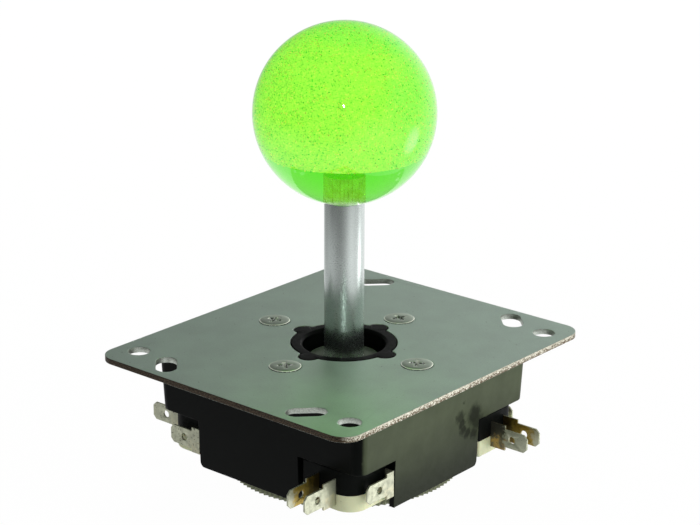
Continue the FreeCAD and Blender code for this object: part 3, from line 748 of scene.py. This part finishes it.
class LEVER_OT_plate_screws(bpy.types.Operator):
    """Model the four countersunk screws with their cross recesses"""
    bl_idname = "lever.plate_screws"
    bl_label = "Plate screws"

    def execute(self, context):
        low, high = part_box("plate_screws")
        shank = HEAD_RADIUS / 2
        top = high[2]
        rim = top - HEAD_HEIGHT
        dome = [(HEAD_RADIUS * out, rim + HEAD_HEIGHT * up) for out, up in DOME_RINGS]
        screw = turned_bar("plate_screw", [(shank - TIP_CHAMFER, low[2]), (shank, low[2] + TIP_CHAMFER),
                                           (shank, rim - (HEAD_RADIUS - shank)), (HEAD_RADIUS, rim), *dome])
        cut_away(screw, self.cross(top))
        apply_modifier(screw, rounding(screw, RECESS_ROUND, 2, 25))
        smooth(screw, 30)
        screw.data.materials.append(screw_finish(tuple(context.scene.lever_metal.screw)))
        for (x, y), turn, side in zip(self.centres(high), SCREW_TURNS, SIDES):
            twin = copied(screw, f"plate_screw_{side}", turn, (x, y, 0))
            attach(twin, "housing")
            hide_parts("plate_screws")
        bpy.data.objects.remove(screw, do_unlink=True)
        return {"FINISHED"}

    def centres(self, high):
        """Centres of the screws, from the upper corner of their group's box."""
        x, y = high[0] - HEAD_RADIUS, high[1] - HEAD_RADIUS
        return [(x, 0), (0, y), (-x, 0), (0, -y)]

    def cross(self, top):
        """Tapered cross of the driver recess."""
        arms = []
        for index in range(2):
            deselect()
            middle = top + (PAST_SURFACE - RECESS_DEPTH) / 2
            bpy.ops.mesh.primitive_cube_add(size=1, location=(0, 0, middle))
            bpy.context.object.scale = (RECESS_LENGTH, RECESS_WIDTH, RECESS_DEPTH + PAST_SURFACE)
            arm = added(f"recess_{index}")
            edit(arm)
            pick_faces(arm, lambda face: face.normal.z < -0.9)
            bpy.ops.transform.resize(value=(0.45, 0.7, 1), center_override=(0, 0, top - RECESS_DEPTH))
            close_edit()
            arms.append(arm)
        for vertex in arms[1].data.vertices:
            vertex.co = (-vertex.co.y, vertex.co.x, vertex.co.z)
        union = arms[0].modifiers.new("union", "BOOLEAN")
        union.operation = "UNION"
        union.solver = "EXACT"
        union.object = arms[1]
        apply_modifier(arms[0], union)
        bpy.data.objects.remove(arms[1], do_unlink=True)
        return arms[0]


class LEVER_OT_housing(bpy.types.Operator):
    """Give the housing and the base plate their moulded black finish"""
    bl_idname = "lever.housing"
    bl_label = "Housing and base plate"

    def execute(self, context):
        plastic = context.scene.lever_plastic
        black, dusty = tuple(plastic.black), tuple(plastic.dusty)
        dress("housing", moulded_finish("black_plastic", black, 0.36, dusty), plastic.edge)
        dress("base_plate", moulded_finish("base_plastic", black, 0.42), plastic.edge)
        return {"FINISHED"}


class LEVER_OT_switches(bpy.types.Operator):
    """Give the four snap switches their black, cream and red finishes"""
    bl_idname = "lever.switches"
    bl_label = "Switches"

    def execute(self, context):
        plastic = context.scene.lever_plastic
        black = moulded_finish("switch_black", (0.0045, 0.0052, 0.0050), 0.46)
        cream = cream_finish(plastic)
        red = moulded_finish("plunger_red", (0.42, 0.03, 0.025), 0.3)
        for side in SIDES:
            dress(f"{side}_switch_cover", black, SWITCH_ROUND)
            dress(f"{side}_switch_base", cream, SWITCH_ROUND)
            dress(f"{side}_switch_plunger", red)
        return {"FINISHED"}


class LEVER_OT_tabs(bpy.types.Operator):
    """Give the twelve terminal tabs their tinned and brass sides, stains and specks"""
    bl_idname = "lever.tabs"
    bl_label = "Terminal tabs"

    def execute(self, context):
        metal = context.scene.lever_metal
        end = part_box("right_switch_cover")[0][1] / MM
        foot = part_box("right_common_tab")[1][1] / MM
        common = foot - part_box("right_common_tab")[0][1] / MM
        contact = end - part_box("right_closed_tab")[0][1] / MM
        for count, side in enumerate(SIDES):
            turn = count * math.pi / 2
            specks = 0.09 if side == "front" else 0.03
            for tab, gold_side, root, reach, stained in (
                    ("common_tab", -1, foot, common, 0.15), ("closed_tab", -1, end, contact, 0.2),
                    ("open_tab", 1, end, contact, 0.9)):
                name = f"{side}_{tab}"
                finish = tab_finish(name, metal, turn, gold_side, root, reach, specks, stained)
                dress(name, finish, TAB_ROUND)
        return {"FINISHED"}


class LEVER_OT_dial(bpy.types.Operator):
    """Give the gate dial its frosted finish and its screws their bright one"""
    bl_idname = "lever.dial"
    bl_label = "Gate dial"

    def execute(self, context):
        dress("gate_dial", frosted_finish(context.scene.lever_plastic), DIAL_ROUND)
        dress("dial_screws", metal_finish("dial_screw", tuple(context.scene.lever_metal.screw), 0.24))
        return {"FINISHED"}


class LEVER_OT_tilting(bpy.types.Operator):
    """Give the pivot ball, actuator, spring, shaft and clip their finishes"""
    bl_idname = "lever.tilting"
    bl_label = "Tilting pieces"

    def execute(self, context):
        metal, plastic = context.scene.lever_metal, context.scene.lever_plastic
        dress("pivot_ball", nylon_finish(plastic), PIVOT_ROUND)
        dress("actuator", moulded_finish("actuator_plastic", tuple(plastic.black), 0.4), plastic.edge)
        dress("centring_spring", metal_finish("spring_steel", (0.42, 0.43, 0.42), 0.3))
        dress("lever_shaft", metal_finish("steel_shaft", tuple(metal.steel), 0.24, (1, 1, 6)))
        dress("shaft_clip", metal_finish("clip_steel", (0.36, 0.37, 0.36), 0.32))
        return {"FINISHED"}


class LEVER_OT_sleeve(bpy.types.Operator):
    """Model the satin steel sleeve between the collar and the ball"""
    bl_idname = "lever.sleeve"
    bl_label = "Sleeve"

    def execute(self, context):
        metal = context.scene.lever_metal
        radius = SLEEVE_HIGH[0]
        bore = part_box("lever_shaft")[1][0]
        height = SLEEVE_HIGH[2] - SLEEVE_LOW[2]
        deselect()
        bpy.ops.mesh.primitive_cylinder_add(vertices=128, radius=radius, depth=height, end_fill_type="NGON",
                                            location=(0, 0, SLEEVE_LOW[2] + height / 2))
        sleeve = added("sleeve_tube")
        edit(sleeve)
        pick_faces(sleeve, lambda face: abs(face.normal.z) > 0.9)
        bpy.ops.mesh.inset(thickness=radius - bore)
        bpy.ops.mesh.bridge_edge_loops()
        close_edit()
        apply_modifier(sleeve, rounding(sleeve, metal.sleeve_edge, 3, 50))
        smooth(sleeve)
        satin = metal_finish("satin_steel", tuple(metal.steel), 0.26, (0.5, 0.5, 5.0), 0.97, 0.0002)
        sleeve.data.materials.append(satin)
        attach(sleeve, "handle")
        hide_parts("shaft_sleeve")
        return {"FINISHED"}


class LEVER_OT_ball(bpy.types.Operator):
    """Model the clear ball, the glitter inside it and the brass insert's finish"""
    bl_idname = "lever.ball"
    bl_label = "Ball top"

    def execute(self, context):
        ball = context.scene.lever_ball
        self.clear_ball(ball)
        self.glitter_core(ball)
        self.flakes(ball)
        dress("ball_insert", insert_finish())
        return {"FINISHED"}

    def sphere(self, name, radius, cut_height):
        """Fine sphere about the ball's centre, cut flat at a height, with the flat's face selected."""
        deselect()
        bpy.ops.mesh.primitive_uv_sphere_add(segments=128, ring_count=64, radius=radius,
                                             location=(0, 0, BALL_CENTRE))
        piece = added(name)
        edit(piece)
        bpy.ops.mesh.bisect(plane_co=(0, 0, cut_height), plane_no=(0, 0, 1), use_fill=True, clear_inner=True)
        return piece

    def clear_ball(self, ball):
        """Clear resin with a flat foot on the sleeve and a hole up into the insert."""
        piece = self.sphere("clear_ball", BALL_RADIUS, BALL_LOW[2])
        below = BALL_LOW[2] + FOOT_TOLERANCE
        pick_faces(piece, lambda face: face.normal.z < -0.99 and face.calc_center_median().z < below)
        bpy.ops.mesh.inset(thickness=FOOT_RIM)
        rise = INSERT_HIGH[2] - BALL_LOW[2] - INSERT_OVERLAP
        bpy.ops.mesh.extrude_region_move(TRANSFORM_OT_translate={"value": (0, 0, rise)})
        close_edit()
        smooth(piece, 30)
        piece.data.materials.append(resin_finish(ball))
        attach(piece, "handle")
        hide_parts("ball_top")

    def glitter_core(self, ball):
        """Glitter-filled middle of the ball, above the clear resin round the insert."""
        piece = self.sphere("glitter_core", BALL_RADIUS - ball.clear_layer, INSERT_HIGH[2] + ball.clear_foot)
        close_edit()
        smooth(piece, 30)
        piece.data.materials.append(glitter_finish(ball))
        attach(piece, "handle")

    def flakes(self, ball):
        """Glitter flakes in the clear layer: one is modelled, and the rest are scattered copies of it."""
        deselect()
        bpy.ops.mesh.primitive_cylinder_add(vertices=6, radius=ball.flake_size / 2,
                                            depth=FLAKE_THICKNESS)
        flake = added("flake")
        shape = [vertex.co.copy() for vertex in flake.data.vertices]
        sides = [tuple(face.vertices) for face in flake.data.polygons]
        draws = random.Random(7)
        inner = BALL_RADIUS - ball.clear_layer + FLAKE_MARGINS[0]
        outer = BALL_RADIUS - FLAKE_MARGINS[1]
        lowest = INSERT_HIGH[2] + ball.clear_foot - BALL_CENTRE
        points, faces, colours = [], [], []
        for _ in range(ball.flake_count):
            height = draws.uniform(-1, 1)
            angle = draws.uniform(0, 2 * math.pi)
            ring = math.sqrt(1 - height * height)
            place = Vector((ring * math.cos(angle), ring * math.sin(angle), height))
            place *= draws.uniform(inner, outer)
            spin = Quaternion([draws.gauss(0, 1) for _ in range(4)]).normalized()
            gold = draws.random() < GOLD_SHARE
            if place.z < lowest:
                continue
            place.z += BALL_CENTRE
            first = len(points)
            points.extend(spin @ corner + place for corner in shape)
            faces.extend(tuple(first + corner for corner in side) for side in sides)
            colours.extend([0 if gold else 1] * len(sides))
        bpy.data.objects.remove(flake, do_unlink=True)
        mesh = bpy.data.meshes.new("glitter_flakes")
        mesh.from_pydata(points, [], faces)
        mesh.polygons.foreach_set("material_index", colours)
        # Both flake colours get a painted glow, the moss flakes the strongest.
        mesh.materials.append(flake_finish("gold_flake", tuple(ball.gold), 0.35))
        mesh.materials.append(flake_finish("moss_flake", tuple(ball.moss), 1.0))
        mesh.update()
        piece = bpy.data.objects.new("glitter_flakes", mesh)
        bpy.context.collection.objects.link(piece)
        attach(piece, "handle")


class LEVER_OT_stage(bpy.types.Operator):
    """Set up the floor, the soft studio light and the camera"""
    bl_idname = "lever.stage"
    bl_label = "Studio and camera"

    def execute(self, context):
        stage = context.scene.lever_stage
        context.scene.view_settings.view_transform = "Standard"
        self.floor(stage)
        self.room(stage, context.scene)
        self.camera(stage, context.scene)
        aim = Vector(stage.aim)
        for name, values in LAMPS.items():
            self.lamp(name, aim, *values)
        self.flash(aim)
        self.dark_screens(aim)
        return {"FINISHED"}

    def direction(self, azimuth, elevation):
        """Unit vector towards a place round the object, azimuth 0 being in front of it."""
        turn, rise = math.radians(azimuth), math.radians(elevation)
        return Vector((math.sin(turn) * math.cos(rise), -math.cos(turn) * math.cos(rise), math.sin(rise)))

    def lamp(self, name, aim, azimuth, elevation, size, power, colour):
        """Square soft lamp that faces the object."""
        data = bpy.data.lights.new(name, "AREA")
        data.size = size
        data.energy = power
        data.color = colour
        lamp = bpy.data.objects.new(name, data)
        bpy.context.collection.objects.link(lamp)
        towards = self.direction(azimuth, elevation)
        lamp.location = aim + towards * LAMP_DISTANCE
        lamp.rotation_euler = (-towards).to_track_quat("-Z", "Y").to_euler()
        lamp.visible_glossy = False
        lamp.visible_transmission = False

    def dark_screens(self, aim):
        """Soft dark screens above three sides and a pale spot low on one, only seen in reflections."""
        deselect()
        bpy.ops.mesh.primitive_uv_sphere_add(segments=48, ring_count=24, radius=SCREEN_DISTANCE,
                                             location=aim)
        screens = added("dark_screens")
        smooth(screens, 180)
        soft = Finish("dark_screens")
        towards = soft.node("ShaderNodeVectorMath", {0: soft.place.outputs["Object"]},
                            operation="NORMALIZE").outputs[0]
        share = 0.0
        for azimuth, elevation, begins, full, depth in SCREENS:
            facing = soft.measure("DOT_PRODUCT", towards, tuple(self.direction(azimuth, elevation)))
            share = soft.calc("ADD", share, soft.step(facing, begins, full, 0.0, depth))
        share = soft.calc("MINIMUM", share, 0.9)
        facing = soft.measure("DOT_PRODUCT", towards, tuple(self.direction(*PALE_SPOT)))
        spot = soft.step(facing, 0.955, 0.999)
        clear = soft.node("ShaderNodeBsdfTransparent", {})
        screen = soft.node("ShaderNodeEmission", {"Strength": soft.calc("MULTIPLY", spot, 3.6)})
        soft.output(surface=soft.mixed(soft.calc("MAXIMUM", share, spot), clear, screen))
        screens.data.materials.append(soft.material)
        for ray in ("camera", "diffuse", "transmission", "shadow", "volume_scatter"):
            setattr(screens, "visible_" + ray, False)

    def flash(self, aim):
        """Small round lamp that only shows as the bright dot on the ball and metal."""
        data = bpy.data.lights.new("flash", "POINT")
        data.energy = FLASH_POWER
        data.shadow_soft_size = FLASH_RADIUS
        lamp = bpy.data.objects.new("flash", data)
        bpy.context.collection.objects.link(lamp)
        lamp.location = aim + self.direction(*FLASH_PLACE) * LAMP_DISTANCE
        lamp.visible_diffuse = False
        lamp.visible_transmission = False

    def camera(self, stage, scene):
        """Camera at the photo's place."""
        data = bpy.data.cameras.new("camera")
        data.lens = stage.lens
        data.sensor_width = 36.0
        data.sensor_fit = "HORIZONTAL"
        data.clip_start = 0.01
        data.clip_end = 50.0
        camera = bpy.data.objects.new("camera", data)
        bpy.context.collection.objects.link(camera)
        away = self.direction(math.degrees(stage.azimuth), math.degrees(stage.elevation)) * stage.distance
        camera.location = Vector(stage.aim) + away
        facing = (-away).to_track_quat("-Z", "Y") @ Quaternion((0, 0, 1), stage.roll)
        camera.rotation_euler = facing.to_euler()
        scene.camera = camera

    def floor(self, stage):
        """Large pale floor that shows nearly white to the camera and keeps the object's shadow."""
        deselect()
        bpy.ops.mesh.primitive_circle_add(vertices=96, radius=3.0, fill_type="NGON",
                                          location=(0, 0, FLOOR_HEIGHT))
        floor = added("floor")
        pale = Finish("pale_floor", base_color=tuple(stage.floor), roughness=0.9)
        glow = pale.node("ShaderNodeEmission", {})
        share = pale.calc("MULTIPLY", pale.seen_rays(), 0.985)
        pale.output(surface=pale.mixed(share, pale.shader, glow))
        floor.data.materials.append(pale.material)
        floor.visible_glossy = False
        floor.visible_diffuse = False

    def room(self, stage, scene):
        """Soft room light, bright behind on the right and dim in front on the left, on a white background."""
        world = bpy.data.worlds.new("studio")
        world.use_nodes = True
        scene.world = world
        studio = Nodes(world.node_tree)
        soft = studio.tree.nodes["Background"]
        place = studio.node("ShaderNodeTexCoord", {})
        side = studio.measure("DOT_PRODUCT", place.outputs["Generated"], tuple(self.direction(*BRIGHT_SIDE)))
        rise = studio.node("ShaderNodeMapRange", {"Value": side, "From Min": -1.0})
        level = studio.calc("ADD", studio.calc("POWER", rise.outputs[0], 3.0), 0.4)
        studio.feed(soft.inputs["Color"], tuple(stage.room))
        studio.feed(soft.inputs["Strength"], level)
        white = studio.node("ShaderNodeBackground", {"Color": (1.0, 1.0, 1.0)})
        surface = studio.tree.nodes["World Output"].inputs["Surface"]
        studio.feed(surface, studio.mixed(studio.seen_rays(), soft, white))


OPERATORS = [LEVER_OT_stage, LEVER_OT_plate, LEVER_OT_plate_screws, LEVER_OT_housing, LEVER_OT_switches,
             LEVER_OT_tabs, LEVER_OT_dial, LEVER_OT_tilting, LEVER_OT_sleeve, LEVER_OT_ball]
SETTINGS = {"lever_ball": LeverBallSettings, "lever_metal": LeverMetalSettings,
            "lever_plastic": LeverPlasticSettings, "lever_stage": LeverStageSettings}


class LEVER_PT_panel(bpy.types.Panel):
    """Pieces of the arcade joystick lever"""
    bl_idname = "LEVER_PT_panel"
    bl_label = "Joystick lever"
    bl_space_type = "VIEW_3D"
    bl_region_type = "UI"
    bl_category = "Lever"

    def draw(self, context):
        for operator in OPERATORS:
            self.layout.operator(operator.bl_idname)
        for name, group in SETTINGS.items():
            box = self.layout.box()
            for key in group.__annotations__:
                box.prop(getattr(context.scene, name), key)


def register():
    for group in SETTINGS.values():
        bpy.utils.register_class(group)
    for operator in OPERATORS:
        bpy.utils.register_class(operator)
    bpy.utils.register_class(LEVER_PT_panel)
    for name, group in SETTINGS.items():
        setattr(bpy.types.Scene, name, bpy.props.PointerProperty(type=group))


def unregister():
    for name in SETTINGS:
        delattr(bpy.types.Scene, name)
    bpy.utils.unregister_class(LEVER_PT_panel)
    for operator in reversed(OPERATORS):
        bpy.utils.unregister_class(operator)
    for group in SETTINGS.values():
        bpy.utils.unregister_class(group)


def main():
    register()
    bpy.ops.lever.stage()
    bpy.ops.lever.plate()
    bpy.ops.lever.plate_screws()
    bpy.ops.lever.housing()
    bpy.ops.lever.switches()
    bpy.ops.lever.tabs()
    bpy.ops.lever.dial()
    bpy.ops.lever.tilting()
    bpy.ops.lever.sleeve()
    bpy.ops.lever.ball()
    bpy.context.view_layer.update()


if __name__ == "__main__":
    main()
